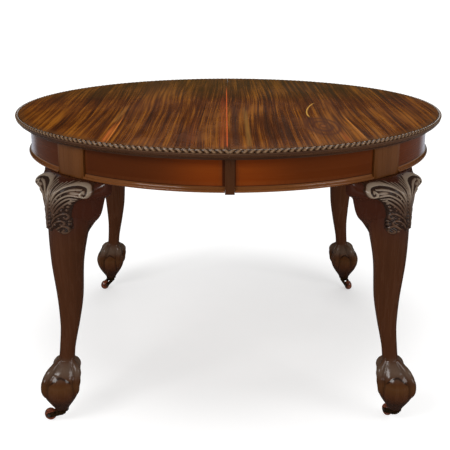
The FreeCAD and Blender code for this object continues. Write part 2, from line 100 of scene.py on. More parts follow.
def grid_faces(rows, cols, wrap_rows=False, wrap_cols=False):
    """Quads over a grid of points stored row by row."""
    faces = []
    for i in range(rows if wrap_rows else rows - 1):
        for j in range(cols if wrap_cols else cols - 1):
            a, b = i * cols + j, i * cols + (j + 1) % cols
            c, d = ((i + 1) % rows) * cols + (j + 1) % cols, ((i + 1) % rows) * cols + j
            faces.append((a, b, c, d))
    return faces


def capped_faces(rows, cols, order=1):
    """Quads over closed rings of points, and a face across each end."""
    first = tuple(range(cols))
    last = tuple((rows - 1) * cols + j for j in range(cols))
    return grid_faces(rows, cols, False, True) + [first[::order], last[::-order]]


def closed_object(name, verts, faces, angle=None):
    """A new object whose faces are turned to look outward."""
    obj = new_object(name, verts, faces, angle)
    mesh = bmesh.new()
    mesh.from_mesh(obj.data)
    bmesh.ops.recalc_face_normals(mesh, faces=mesh.faces)
    mesh.to_mesh(obj.data)
    mesh.free()
    return obj


def lathe(name, profile, segments, axis, at=(0, 0, 0), angle=35):
    """Turns a closed profile of (radius, place along the axis) points about the X or Y axis."""
    profile = np.array(profile, float)
    rings = []
    for t in np.linspace(0, 2 * math.pi, segments, endpoint=False):
        rings.append(np.c_[profile[:, 0] * math.cos(t), profile[:, 0] * math.sin(t), profile[:, 1]])
    order = {"X": [2, 0, 1], "Y": [1, 2, 0]}[axis]
    points = np.vstack(rings)[:, order] + np.array(at)
    return closed_object(name, points, grid_faces(segments, len(profile), True, True), angle)


def smooth_path(points, count):
    """A Catmull-Rom curve through points, sampled evenly in its parameter."""
    p = np.array(points, float)
    ends = np.vstack([2 * p[0] - p[1], p, 2 * p[-1] - p[-2]])
    spans = len(p) - 1
    out = []
    for s in np.linspace(0, spans, count):
        i = min(int(s), spans - 1)
        f = s - i
        a, b, c, d = ends[i : i + 4]
        square = 2 * a - 5 * b + 4 * c - d
        cube = 3 * b - a - 3 * c + d
        out.append(0.5 * (2 * b + (c - a) * f + square * f**2 + cube * f**3))
    return np.array(out)


def smooth_table(table, x):
    """Columns of a table of (key, value...) rows, at keys x, along a smooth curve."""
    t = np.array(sorted(table), float)
    curve = smooth_path(t, 40 * len(t))
    order = np.argsort(curve[:, 0])
    return [np.interp(x, curve[order, 0], curve[order, k]) for k in range(1, t.shape[1])]


def tube(points, radii, sides, count):
    """Verts and faces of a closed round bar along a path of changing radius."""
    data = smooth_path(np.c_[np.array(points, float), np.array(radii, float)], count)
    path, radius = data[:, :3], np.maximum(data[:, 3], 0.0004)
    ahead = np.gradient(path, axis=0)
    ahead /= np.linalg.norm(ahead, axis=1)[:, None]
    side = np.array([0.0, 1.0, 0.0]) if abs(ahead[0][1]) < 0.9 else np.array([1.0, 0.0, 0.0])
    verts = []
    for k in range(count):
        side = side - ahead[k] * np.dot(side, ahead[k])
        side /= np.linalg.norm(side)
        up = np.cross(ahead[k], side)
        for s in range(sides):
            a = 2 * math.pi * s / sides
            verts.append(path[k] + radius[k] * (math.cos(a) * side + math.sin(a) * up))
    return verts, capped_faces(count, sides, -1)


def join_parts(name, parts):
    verts, faces = [], []
    for v, f in parts:
        base = len(verts)
        verts += [tuple(p) for p in v]
        faces += [tuple(i + base for i in face) for face in f]
    return closed_object(name, verts, faces)


def remeshed(obj, voxel, smoothing):
    """One closed skin over overlapping closed parts."""
    modifier = obj.modifiers.new("skin", "REMESH")
    modifier.mode = "VOXEL"
    modifier.voxel_size = voxel
    relax = obj.modifiers.new("relax", "SMOOTH")
    relax.factor, relax.iterations = 0.5, smoothing
    graph = bpy.context.evaluated_depsgraph_get()
    mesh = bpy.data.meshes.new_from_object(obj.evaluated_get(graph))
    obj.modifiers.clear()
    mesh.polygons.foreach_set("use_smooth", [True] * len(mesh.polygons))
    mesh.name = obj.name
    obj.data = mesh
    return obj


def copy_at(source, name, angle):
    """The same mesh turned about the table's axis."""
    obj = in_scene(name, source.data)
    obj.rotation_euler = (0, 0, angle)
    bpy.context.view_layer.update()
    return obj


# ------------ material helpers
class Nodes:
    """A short way to wire the nodes of a material or a world."""

    def __init__(self, owner):
        owner.use_nodes = True
        self.owner = owner
        self.tree = owner.node_tree
        self.tree.nodes.clear()

    def link(self, a, b):
        self.tree.links.new(a, b)

    def put(self, socket, value):
        if isinstance(value, bpy.types.NodeSocket):
            self.link(value, socket)
        elif value is not None:
            socket.default_value = value

    def add(self, kind, **settings):
        node = self.tree.nodes.new(kind)
        for key, value in settings.items():
            setattr(node, key, value)
        return node

    def math(self, operation, a, b=None):
        node = self.add("ShaderNodeMath", operation=operation)
        for socket, value in zip(node.inputs, (a, b)):
            self.put(socket, value)
        return node.outputs[0]

    def times(self, a, b):
        return self.math("MULTIPLY", a, b)

    def plus(self, a, b):
        return self.math("ADD", a, b)

    def minus(self, a, b):
        return self.math("SUBTRACT", a, b)

    def over(self, a, b):
        return self.math("DIVIDE", a, b)

    def hypot(self, a, b):
        return self.math("SQRT", self.plus(self.times(a, a), self.times(b, b)))

    def value_of(self, attribute):
        """A value kept on the mesh's points."""
        return self.add("ShaderNodeAttribute", attribute_name=attribute).outputs["Fac"]

    def place(self, kind="Object"):
        return self.add("ShaderNodeTexCoord").outputs[kind]

    def xyz(self, kind="Object"):
        split = self.add("ShaderNodeSeparateXYZ")
        self.link(self.place(kind), split.inputs[0])
        return split.outputs

    def vector(self, x, y, z):
        join = self.add("ShaderNodeCombineXYZ")
        for socket, value in zip(join.inputs, (x, y, z)):
            self.put(socket, value)
        return join.outputs[0]

    def noise(self, vector, scale, detail=4.0, rough=0.55, distortion=0.0):
        node = self.add("ShaderNodeTexNoise")
        self.link(vector, node.inputs["Vector"])
        settings = {"Scale": scale, "Detail": detail, "Roughness": rough, "Distortion": distortion}
        for key, value in settings.items():
            node.inputs[key].default_value = value
        return node.outputs[0]

    def ramp(self, value, stops):
        node = self.add("ShaderNodeValToRGB")
        while len(node.color_ramp.elements) < len(stops):
            node.color_ramp.elements.new(0.5)
        for element, (place, colour) in zip(node.color_ramp.elements, stops):
            element.position = place
            element.color = (*colour, 1.0)
        self.link(value, node.inputs[0])
        return node.outputs[0]

    def span(self, value, low, high, out_low=0.0, out_high=1.0):
        node = self.add("ShaderNodeMapRange", interpolation_type="SMOOTHSTEP")
        for socket, v in zip(node.inputs, (value, low, high, out_low, out_high)):
            self.put(socket, v)
        return node.outputs[0]

    def mix(self, factor, a, b):
        node = self.add("ShaderNodeMix", data_type="RGBA")
        self.put(node.inputs[0], factor)
        for socket, value in ((node.inputs[6], a), (node.inputs[7], b)):
            self.put(socket, (*value, 1.0) if isinstance(value, tuple) else value)
        return node.outputs[2]

    def band(self, value, centre, width):
        """1 at centre, falling to 0 over width each way."""
        away = self.math("ABSOLUTE", self.minus(value, centre))
        return self.span(away, 0.0, width, 1.0, 0.0)

    def oval(self, x, y, centre, half):
        """Distance from a centre, counted so that it is 1 on the oval of these half widths."""
        return self.hypot(
            self.over(self.minus(x, centre[0]), half[0]),
            self.over(self.minus(y, centre[1]), half[1]),
        )

    def by_ray(self, seen, mirrored, out):
        """One shader for mirrored rays and another for all other rays."""
        either = self.add("ShaderNodeMixShader")
        self.link(self.add("ShaderNodeLightPath").outputs["Is Glossy Ray"], either.inputs[0])
        self.link(seen.outputs[0], either.inputs[1])
        self.link(mirrored.outputs[0], either.inputs[2])
        self.link(either.outputs[0], out.inputs[0])


class Surface(Nodes):
    """A new material with one Principled shader."""

    def __init__(self, name):
        super().__init__(bpy.data.materials.new(name))
        self.shader = self.add("ShaderNodeBsdfPrincipled")
        self.out = self.add("ShaderNodeOutputMaterial")
        self.link(self.shader.outputs[0], self.out.inputs[0])

    def finish(self, colour, roughness, bump=None, strength=0.2, distance=0.0004, **constants):
        self.put(self.shader.inputs["Base Color"], colour)
        self.put(self.shader.inputs["Roughness"], roughness)
        for key, value in constants.items():
            self.shader.inputs[key.replace("_", " ")].default_value = value
        if bump is not None:
            node = self.add("ShaderNodeBump")
            node.inputs["Strength"].default_value = strength
            node.inputs["Distance"].default_value = distance
            self.link(bump, node.inputs["Height"])
            self.link(node.outputs[0], self.shader.inputs["Normal"])
        return self.owner


def grain(n, along, across, depth, seed, figure):
    """Figure, stripe and pore values of mahogany for coordinates in metres."""
    stretched = n.vector(n.plus(across, seed), depth, n.times(along, 0.045))
    broad = n.noise(stretched, 9.0 * figure, 3.0, 0.5, 0.6)
    stripe = n.noise(stretched, 95.0 * figure, 5.0, 0.6, 0.25)
    fine = n.vector(n.plus(across, seed), depth, n.times(along, 0.02))
    pores = n.noise(fine, 900.0, 3.0, 0.6)
    return broad, stripe, pores


def wood(
    name, coords, dark, mid, light, rough=(0.22, 0.36), seed=0.0, figure=1.0, pore=0.2, coat=0.6, ior=1.4,
    specular=0.2, contrast=1.0, after=None,
):
    """Polished wood. coords(n) gives (along, across, depth) in metres, after(n, colour) its last colour."""
    n = Surface(name)
    along, across, depth = coords(n)
    broad, stripe, pores = grain(n, along, across, depth, seed, figure)
    tone = n.plus(n.times(broad, 0.6), n.times(stripe, 0.4))
    spread = 0.14 / contrast
    colour = n.ramp(tone, [(0.5 - spread, dark), (0.5, mid), (0.5 + spread, light)])
    pore_dark = n.span(pores, 0.56, 0.72, 0.0, pore)
    colour = n.mix(pore_dark, colour, tuple(c * 0.45 for c in dark))
    if after:
        colour = after(n, colour)
    roughness = n.span(stripe, 0.3, 0.7, rough[0], rough[1])
    return n.finish(
        colour, roughness, pores, 0.1, 0.0002,
        Coat_Weight=coat, Coat_Roughness=0.12, Coat_IOR=ior, Specular_IOR_Level=specular,
    )


def along_axis(axis):
    order = {"x": (0, 1, 2), "y": (1, 0, 2), "z": (2, 0, 1)}[axis]

    def coords(n):
        p = n.xyz()
        return tuple(p[i] for i in order)

    return coords


def round_the_table(radius):
    """Along is the distance round the table, across is the height."""

    def coords(n):
        p = n.xyz()
        angle = n.math("ARCTAN2", p[1], p[0])
        return n.times(angle, radius), p[2], n.hypot(p[0], p[1])

    return coords


def paint(obj, material):
    if len(obj.material_slots) == 0:
        obj.data.materials.append(material)
    for s in obj.material_slots:
        s.link = "OBJECT"
        s.material = material


# ------------ materials
# Streaks in the top, each a line along the grain:
# (distance from the seam at the middle, lean, front end, rear end, half width, strength, colour)
STREAKS = [
    (-0.0042, 0.0, -0.6, 0.42, 0.0026, 0.95, (1.00, 0.17, 0.035)),
    (-0.015, 0.0, -0.6, 0.25, 0.014, 0.45, (0.42, 0.07, 0.012)),
    (-0.09, 0.0, -0.58, -0.1, 0.02, 0.22, (0.36, 0.08, 0.014)),
    (-0.284, 0.0, -0.6, -0.12, 0.002, 0.9, (0.95, 0.28, 0.06)),
    (-0.289, 0.01, -0.6, -0.22, 0.0085, 0.9, (0.8, 0.2, 0.034)),
    (-0.293, 0.02, -0.3, 0.05, 0.012, 0.45, (0.62, 0.26, 0.055)),
    (0.018, 0.0, -0.6, 0.1, 0.014, 0.6, (0.045, 0.015, 0.01)),
    (0.047, 0.0, -0.6, 0.02, 0.01, 0.6, (0.48, 0.22, 0.042)),
    (0.306, -0.04, -0.6, -0.1, 0.0024, 0.9, (0.9, 0.33, 0.06)),
    (0.295, -0.06, -0.6, -0.16, 0.011, 0.5, (0.46, 0.17, 0.03)),
    (0.265, -0.03, -0.55, -0.33, 0.012, 0.45, (0.42, 0.075, 0.016)),
    (0.209, 0.0, -0.6, -0.24, 0.005, 0.55, (0.62, 0.22, 0.04)),
    (0.356, -0.02, -0.52, -0.2, 0.008, 0.4, (0.5, 0.2, 0.036)),
]


# Dark swirl round a small knot, and the bright curl beside it: middle and half widths
KNOT_AT, KNOT_HALF = (0.2424, -0.3266), (0.046, 0.125)
CURL_AT, CURL_HALF = (0.264, -0.085), (0.042, 0.16)
# The polished face ends between these heights, and the wood under it is bare
BARE_BELOW, POLISH_ABOVE = 0.738, 0.742


def top_material():
    n = Surface("polished_top")
    p = n.xyz()
    x, y = p[0], p[1]
    drift = n.noise(n.vector(x, n.times(y, 0.3), 0.0), 2.4, 2.0)
    across = n.plus(x, n.times(n.minus(drift, 0.5), 0.07))
    bands = n.noise(n.vector(across, 0.0, n.times(y, 0.07)), 20.0, 4.0, 0.6)
    streaks = n.noise(n.vector(across, 1.3, n.times(y, 0.014)), 110.0, 4.0, 0.6)
    lines = n.noise(n.vector(across, 2.6, n.times(y, 0.0055)), 400.0, 3.0, 0.6)
    clouds = n.noise(n.vector(x, n.times(y, 0.45), 4.0), 6.0, 4.0, 0.6)
    tone = n.times(bands, 0.25)
    for layer, weight in ((streaks, 0.31), (lines, 0.31), (clouds, 0.13)):
        tone = n.plus(tone, n.times(layer, weight))
    dark, mid, light = (0.04, 0.007, 0.001), (0.132, 0.0295, 0.002), (0.36, 0.115, 0.008)
    colour = n.ramp(tone, [(0.43, dark), (0.5, mid), (0.57, light)])
    colour = n.mix(n.span(y, 0.05, 0.55, 0.0, 0.45), colour, (0.07, 0.03, 0.004))
    right = n.span(x, 0.02, 0.12)
    dark_lines = n.times(n.span(streaks, 0.5, 0.38), n.times(right, 0.55))
    colour = n.mix(dark_lines, colour, (0.05, 0.016, 0.006))
    for centre, lean, front, rear, width, strength, hue in STREAKS:
        place = n.minus(x, n.times(y, lean))
        line = n.band(place, centre, width)
        ends = n.times(n.span(y, front, front + 0.05), n.span(y, rear, rear - 0.2))
        broken = n.span(streaks, 0.3, 0.52, 0.45, 1.0)
        amount = n.times(n.times(line, ends), n.times(broken, strength))
        colour = n.mix(amount, colour, hue)
    away = n.oval(x, y, KNOT_AT, KNOT_HALF)
    ripple = n.math("SINE", n.plus(n.times(away, 17.0), n.times(clouds, 9.0)))
    swirl = n.times(n.span(away, 1.25, 0.75), n.span(ripple, -0.4, 0.9, 0.35, 0.85))
    colour = n.mix(swirl, colour, (0.085, 0.018, 0.007))
    colour = n.mix(n.span(away, 0.2, 0.08, 0.0, 0.8), colour, (0.3, 0.09, 0.018))
    sheared = n.minus(x, n.times(n.plus(y, 0.1), 0.15))
    curl = n.band(n.oval(sheared, y, CURL_AT, CURL_HALF), 1.0, 0.075)
    curl = n.times(curl, n.times(n.span(y, -0.21, -0.17), n.span(y, 0.05, 0.00)))
    colour = n.mix(n.times(n.times(curl, n.span(sheared, 0.262, 0.25)), 0.95), colour, (1.0, 0.52, 0.1))
    border = n.span(n.hypot(x, y), RIM_R - 0.034, RIM_R - 0.014, 0.0, 0.5)
    colour = n.mix(border, colour, (0.13, 0.052, 0.016))
    bare = n.ramp(streaks, [(0.35, (0.12, 0.055, 0.024)), (0.65, (0.2, 0.1, 0.046))])
    colour = n.mix(n.span(p[2], BARE_BELOW, POLISH_ABOVE, 1.0, 0.0), colour, bare)
    roughness = n.span(clouds, 0.3, 0.7, 0.2, 0.32)
    return n.finish(
        colour, roughness, lines, 0.03, 0.0001,
        Coat_Weight=0.34, Coat_Roughness=0.035, Coat_IOR=1.34, Specular_IOR_Level=0.03,
    )


def painted_edge_reflection(n, colour):
    """Painted reflection: a pale bluish white mixed into the colour where the surface turns edge-on."""
    facing = n.add("ShaderNodeLayerWeight").outputs["Facing"]
    # painted reflection, pale bluish white, stronger as the surface turns edge-on
    return n.mix(n.span(facing, 0.76, 0.99, 0.0, 0.9), colour, (0.62, 0.64, 0.74))


# Angles from the table's sides where the apron's side panel ends and its front or rear panel starts and ends
SIDE_END, FRONT_START, FRONT_END = (math.radians(degrees) for degrees in (41.9, 52.1, 88.6))
APRON_R = 0.57


def veneer_material():
    """Veneer with its grain round the table and a narrow cross-cut border at each panel's ends and foot, with
    painted shade away from the middle of the front and back and on the left, and a painted reflection where
    it turns edge-on.
    """

    def border(n, colour):
        p = n.xyz()
        angle = n.math("ARCTAN2", n.math("ABSOLUTE", p[0]), n.times(p[1], -1.0))
        turn = n.math("ABSOLUTE", n.minus(angle, math.pi / 2))
        # painted shade: darker away from the middle of the front and the back, as the apron turns toward the
        # sides
        shade = n.span(n.minus(math.pi / 2, turn), 0.04, 0.34, 0.0, 0.66)
        colour = n.mix(shade, colour, (0.055, 0.0125, 0.002))
        # painted shade: darker on the table's left
        colour = n.mix(n.span(p[0], -0.06, -0.26, 0.0, 0.55), colour, (0.038, 0.009, 0.002))
        front = n.math("MINIMUM", n.minus(turn, FRONT_START), n.minus(FRONT_END, turn))
        end = n.math("MAXIMUM", n.minus(SIDE_END, turn), front)
        foot = n.over(n.minus(p[2], bead_high.z), APRON_R)
        edge = n.math("MINIMUM", end, foot)
        inside = n.span(edge, 0.0165, 0.018, 0.88, 1.0)
        rim = n.span(edge, 0.0, 0.006, 0.75, 0.0)
        cross = n.noise(n.vector(n.times(angle, APRON_R), 0.0, n.times(p[2], 0.1)), 260.0, 3.0)
        banding = n.ramp(cross, [(0.3, (0.085, 0.022, 0.006)), (0.7, (0.17, 0.055, 0.015))])
        colour = n.mix(inside, banding, colour)
        # the painted reflection goes on last, over the border, the painted shade and the thin dark line at
        # the panel edges
        return painted_edge_reflection(n, n.mix(rim, colour, (0.012, 0.004, 0.002)))

    return wood(
        "apron_veneer", round_the_table(APRON_R),
        (0.105, 0.017, 0.0008), (0.145, 0.025, 0.0012), (0.2, 0.04, 0.0022),
        seed=1.7, figure=0.35, coat=0.3, ior=1.2, specular=0.03, contrast=0.8, after=border,
    )


def rope_material():
    """Painted highlights on the crests of the lobes, painted shade in the hollows between them."""

    def painted_highlights_and_shade(n, colour):
        lobe = n.value_of("lobe")
        # painted highlight: each lobe's crest mixed toward a pale brown
        colour = n.mix(n.span(lobe, 0.78, 0.98, 0.0, 0.75), colour, (0.23, 0.14, 0.078))
        # painted shade: the hollows between the lobes mixed toward near black
        return n.mix(n.span(lobe, 0.28, 0.62, 0.92, 0.0), colour, (0.012, 0.005, 0.002))

    return wood(
        "rope_edge", round_the_table(0.605),
        (0.04, 0.017, 0.007), (0.07, 0.032, 0.013), (0.11, 0.055, 0.024),
        seed=2.2, ior=1.45, rough=(0.2, 0.32), after=painted_highlights_and_shade,
    )


def leg_shading(n, colour):
    """Redder and darker at the knee, lighter and greyer over the ball, painted light on it, and painted shade
    under it and in the grooves.
    """
    height = n.xyz()[2]
    colour = n.mix(n.span(height, 0.48, 0.58, 0.0, 0.85), colour, (0.036, 0.0085, 0.0042))
    # lighter and greyer in a band over the top of the ball
    colour = n.mix(n.band(height, 0.155, 0.03), colour, (0.092, 0.056, 0.037))
    # painted light across the ball
    colour = n.mix(n.times(n.band(height, 0.115, 0.028), 0.45), colour, (0.095, 0.038, 0.01))
    # painted shade on the ball's lower part
    colour = n.mix(n.span(height, 0.092, 0.06, 0.0, 0.75), colour, (0.014, 0.006, 0.004))
    # painted shade in the hollows beside the claws and under the web's edge
    groove = n.value_of("groove")
    return n.mix(n.times(groove, 0.85), colour, (0.006, 0.002, 0.001))


def carved_material():
    """Dark polished wood with tan on what stands proud, part wear and part painted light that is stronger in
    the upper part, painted highlights on the crests and painted shade, near black, in the ground of the
    carving.
    """

    def painted_highlights_and_shade(n, colour):
        relief = n.value_of("relief")
        patches = n.noise(n.place(), 34.0, 3.0)
        # upper is the top of the knee, where the painted light is stronger
        upper = n.span(n.xyz()[2], 0.58, 0.628)
        rise = n.times(n.span(relief, 0.18, 0.42), n.span(upper, 0.0, 1.0, 0.15, 0.9))
        # tan on the raised parts: part wear, part painted light
        colour = n.mix(rise, colour, (0.205, 0.15, 0.108))
        # painted highlight on the crests, paler in the upper part
        crest = n.mix(upper, (0.09, 0.044, 0.021), (0.25, 0.192, 0.138))
        high = n.times(n.span(relief, 0.5, 0.95), n.span(patches, 0.3, 0.6, 0.4, 1.0))
        colour = n.mix(n.times(high, 0.85), colour, crest)
        # painted shade, near black, in the ground of the carving
        low = n.span(relief, 0.03, 0.22, 0.85, 0.0)
        return n.mix(low, colour, (0.016, 0.007, 0.004))

    return wood(
        "carved_knee", along_axis("z"),
        (0.03, 0.01, 0.004), (0.06, 0.022, 0.009), (0.1, 0.042, 0.018),
        rough=(0.26, 0.4), seed=5.0, after=painted_highlights_and_shade,
    )


def metal(name, colour, dirt, rough, metallic=1.0, scale=60.0, coat=0.0):
    n = Surface(name)
    place = n.place()
    grime = n.noise(place, scale, 5.0, 0.65)
    scratches = n.noise(place, 9.0 * scale, 2.0, 0.5)
    mixed = n.mix(n.span(grime, 0.42, 0.66), colour, dirt)
    roughness = n.span(grime, 0.35, 0.7, rough[0], rough[1])
    return n.finish(mixed, roughness, scratches, 0.15, 0.0002, Metallic=metallic, Coat_Weight=coat)


M_TOP = top_material()
M_ROPE = rope_material()
M_VENEER = veneer_material()
M_KNEE = carved_material()
M_MOULD = wood(
    "moulded_edge", round_the_table(0.6),
    (0.034, 0.013, 0.006), (0.064, 0.027, 0.012), (0.11, 0.052, 0.024),
    seed=4.2, ior=1.36, specular=0.1,
)
# the bead has the painted reflection where it turns edge-on
M_BEAD = wood(
    "apron_bead", round_the_table(0.577),
    (0.075, 0.022, 0.005), (0.125, 0.04, 0.009), (0.18, 0.062, 0.016),
    seed=6.1, specular=0.1, after=painted_edge_reflection, rough=(0.16, 0.28),
)
M_BLOCK = wood(
    "leg_block", along_axis("z"),
    (0.08, 0.026, 0.006), (0.112, 0.037, 0.008), (0.15, 0.053, 0.012),
    seed=8.4, figure=0.6, pore=0.25, coat=0.35, ior=1.22, specular=0.08, contrast=0.8,
)
M_STILE = wood(
    "seam_stile", along_axis("z"),
    (0.03, 0.009, 0.0025), (0.048, 0.015, 0.004), (0.07, 0.023, 0.006),
    seed=10.2, figure=0.6, pore=0.25, coat=0.35, ior=1.22, specular=0.08, contrast=0.8,
)
M_LEG = wood(
    "turned_leg", along_axis("z"),
    (0.036, 0.0115, 0.004), (0.054, 0.0172, 0.006), (0.076, 0.025, 0.009),
    seed=9.3, coat=0.7, ior=1.4, specular=0.08, rough=(0.2, 0.32), contrast=0.7,
    after=leg_shading,
)
M_FRAME_X = wood(
    "frame_wood_x", along_axis("x"),
    (0.2, 0.11, 0.05), (0.3, 0.175, 0.085), (0.4, 0.25, 0.13),
    seed=13.0, rough=(0.5, 0.7), pore=0.35, coat=0.0, ior=1.3,
)
M_FRAME_Y = wood(
    "frame_wood_y", along_axis("y"),
    (0.18, 0.098, 0.044), (0.28, 0.16, 0.078), (0.37, 0.225, 0.118),
    seed=15.0, rough=(0.5, 0.7), pore=0.35, coat=0.0, ior=1.3,
)
M_STEEL = metal("screw_steel", (0.42, 0.39, 0.35), (0.1, 0.075, 0.055), (0.28, 0.55), scale=45.0)
M_IRON = metal("cast_iron_gear", (0.1, 0.095, 0.09), (0.05, 0.035, 0.028), (0.45, 0.75), 0.6, scale=120.0)
M_BRASS = metal("aged_brass", (0.22, 0.115, 0.045), (0.035, 0.018, 0.01), (0.3, 0.55), scale=90.0)
M_WHEEL = metal(
    "brown_ceramic", (0.19, 0.05, 0.022), (0.07, 0.018, 0.01), (0.14, 0.3), 0.0, scale=70.0, coat=0.8
)


# ------------ top
def half_ring(name, profile, side, segments=200):
    """A closed profile of (radius, height) turned through half the table, cut square at the seam."""
    profile = np.array(profile, float)
    rings = []
    for k in range(segments + 1):
        share = k / segments
        rows = []
        for r, z in profile:
            if r > SEAM_X:
                lean = math.asin(min(1.0, SEAM_X / r))
                a = -math.pi / 2 + lean + share * (math.pi - 2 * lean)
                rows.append((side * r * math.cos(a), r * math.sin(a), z))
            else:
                rows.append((side * SEAM_X, 0.0, z))
        rings.append(rows)
    verts = [p for row in rings for p in row]
    return closed_object(name, verts, capped_faces(segments + 1, len(profile)), 30)


def arc_points(centre, radius, start, end, count):
    turns = np.radians(np.linspace(start, end, count))
    return [(centre[0] + radius * math.cos(a), centre[1] + radius * math.sin(a)) for a in turns]


def board_profile():
    """Edge of the top, from the seam outwards along the polished face and back under it."""
    rebate = RIM_R - 9 * MM
    fillet = RIM_R - 2 * MM
    low = TOP_Z - 9 * MM
    points = [(r, TOP_Z) for r in np.linspace(0.0005, rebate - 0.6 * MM, 24)]
    points += [(rebate, TOP_Z - 0.6 * MM), (rebate, low), (fillet - 0.8 * MM, low)]
    points += [(fillet, low - 0.8 * MM), (fillet, low - 2.7 * MM), (fillet - 0.8 * MM, low - 3.5 * MM)]
    points += arc_points((fillet - 11 * MM, low - 3.5 * MM), 8 * MM, 0, -90, 9)
    points += arc_points((fillet - 11 * MM, low - 18.5 * MM), 7 * MM, 90, 175, 9)
    foot = points[-1][0]
    points += [(foot, TOP_UNDER + 0.5 * MM), (foot - 0.5 * MM, TOP_UNDER), (0.0005, TOP_UNDER)]
    return points


ROPE_LOBES = 124
ROPE_R = 4.7 * MM


def rope_half(name, side, per_lobe=12, around=20):
    """A carved rope: slanting lobes round a bead, laid in the rebate at the rim."""
    gap = SEAM_X / RIM_R
    centre_r, centre_z = RIM_R - ROPE_R, TOP_Z - ROPE_R
    slant, phase, fullness, hollow = 1.1, 0.8, 0.6, 0.56
    steps = ROPE_LOBES * per_lobe
    verts, tone = [], []
    for k in range(steps + 1):
        share = k / steps
        a = -math.pi / 2 + gap + share * (math.pi - 2 * gap)
        for j in range(around):
            turn = 2 * math.pi * j / around
            twist = math.pi * ROPE_LOBES * share - slant * math.sin(turn - phase)
            body = abs(math.sin(twist)) ** fullness
            r = ROPE_R * (hollow + (1 - hollow) * body)
            x = centre_r + r * math.cos(turn)
            verts.append((side * x * math.cos(a), x * math.sin(a), centre_z + r * math.sin(turn)))
            tone.append(body)
    obj = closed_object(name, verts, capped_faces(steps + 1, around), 60)
    obj.data.attributes.new("lobe", "FLOAT", "POINT").data.foreach_set("value", tone)
    return obj


def make_top():
    for side, half in ((-1, "left"), (1, "right")):
        board = half_ring(f"board_{half}", board_profile(), side)
        board.data.materials.append(M_TOP)
        board.data.materials.append(M_MOULD)
        for face in board.data.polygons:
            below = face.center.z < TOP_Z - 0.3 * MM
            outside = math.hypot(face.center.x, face.center.y) > RIM_R - 40 * MM
            face.material_index = 1 if below and outside else 0
        softened = board.modifiers.new("arris", "BEVEL")
        softened.width, softened.segments, softened.limit_method = 0.6 * MM, 2, "ANGLE"
        softened.angle_limit = math.radians(50)
        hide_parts(f"top_{half}")
        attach(board, f"{half}_half")
        rope = rope_half(f"rope_{half}", side)
        paint(rope, M_ROPE)
        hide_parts(f"rope_edge_{half}")
        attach(rope, f"{half}_half")


# ------------ legs
# Height, distance of the centre from the table's axis, half depth, half width, squareness, all in mm
SECTIONS = [
    (145, 624.5, 26, 26, 2.1),
    (165, 618.5, 21.8, 21.8, 2.1),
    (182, 614.5, 20.4, 20.4, 2.1),
    (206, 611, 20.4, 20.4, 2.1),
    (240, 604.5, 22.6, 22.6, 2.15),
    (274, 599, 26.2, 26.2, 2.2),
    (340, 594, 34.2, 34.2, 2.3),
    (437, 596, 43, 43, 2.4),
    (520, 588, 52, 57, 2.5),
    (575, 578, 57, 65, 2.5),
    (600, 574, 59, 70, 2.5),
    (622, 567, 61, 73, 2.5),
    (640, 554, 58, 73, 2.5),
    (653, 536, 54, 73, 2.5),
]
# Height and radius of the ball, in mm
BALL = [
    (37, 15), (39, 17.5), (44, 20), (52, 25.5), (62, 32.5), (74, 40), (88, 46), (102, 48.8), (112, 48.8),
    (124, 45.5), (134, 40.5), (142, 34), (149, 26), (154, 14),
]
# The web, a skin from the ankle over the top of the ball: height and radius, in mm
WEB = [
    (96, 48), (108, 49), (120, 48.5), (132, 45.5), (143, 41.5), (151, 37), (158, 31.5), (165, 26), (172, 21),
]
WEB_TOP = 172
# Its edge is at WEB_ARCH between the claws, and WEB_DROP lower at a claw
WEB_ARCH, WEB_DROP = 144, 30
# A claw: distance out from the foot's middle, height and radius, in mm, and the turns of the four claws
TOE = [
    (19, 174, 5.0), (27, 166, 7.4), (37, 157, 9.6), (44.5, 147, 10.2), (48, 137, 8.6), (50, 127, 9.8),
    (50.5, 114, 8.6), (49.5, 102, 8.0), (47, 93, 5.8), (43.5, 86, 3.6), (41, 81, 2.0),
]
TOE_TURNS = (0, 106, 180, 254)
# Outline of the plain knee with its wings: height and half width, in mm
WING_EDGE = [
    (505, 24), (515, 32), (526, 42), (538, 53), (546, 62), (554, 71), (564, 79), (577, 86), (596, 93),
    (609, 98), (614, 105), (619, 115), (625, 122), (633, 125), (641, 126), (648, 127), (653, 128),
]
# Distance from the table's axis, in mm, of the wings' faces and of the backs of both parts of the knee
WING_RIM_R, WING_BACK, KNEE_BACK = 576.0, 547.0, 559.0


def section_points(z, count):
    """Points round the leg's section at each height z, in mm, as an array of height by point by xyz."""
    centre, depth, width, power = smooth_table(SECTIONS, z)
    a = np.linspace(0, 2 * math.pi, count, endpoint=False)[None, :]
    power = power[:, None]
    p, q = np.abs(np.cos(a + math.pi / 4)), np.abs(np.sin(a + math.pi / 4))
    share = (p**power + q**power) ** (-1 / power) / 2 ** (0.5 - 1 / power)
    x = centre[:, None] + depth[:, None] * share * np.cos(a)
    y = width[:, None] * share * np.sin(a)
    return np.stack([x, y, np.repeat(z[:, None], count, 1)], 2)


def hump(value, centre, width):
    """A bell that is 1 at the centre and has fallen to about a third at the width."""
    return np.exp(-(((value - centre) / width) ** 2))


def unit(value):
    return np.clip(value, 0, 1)


def closed_rings(points):
    """Verts and faces of rings of points closed at both ends."""
    return points.reshape(-1, 3) * MM, capped_faces(*points.shape[:2], -1)


def foot_axis(height):
    """Distance of the foot's middle from the table's axis, in mm: the ball's, drawn in above it."""
    return np.interp(height, [120, 182], [BALL_R / MM, 615.5])


def web_edge(turn):
    """Angle to the nearest claw, nearness to it from 0 to 1, and height of the web's edge, in mm."""
    off = turn[..., None] - np.radians(TOE_TURNS)
    gap = np.min(np.abs((off + math.pi) % (2 * math.pi) - math.pi), axis=-1)
    near = unit(1 - gap / math.radians(50))
    return gap, near, WEB_ARCH - WEB_DROP * near**1.5


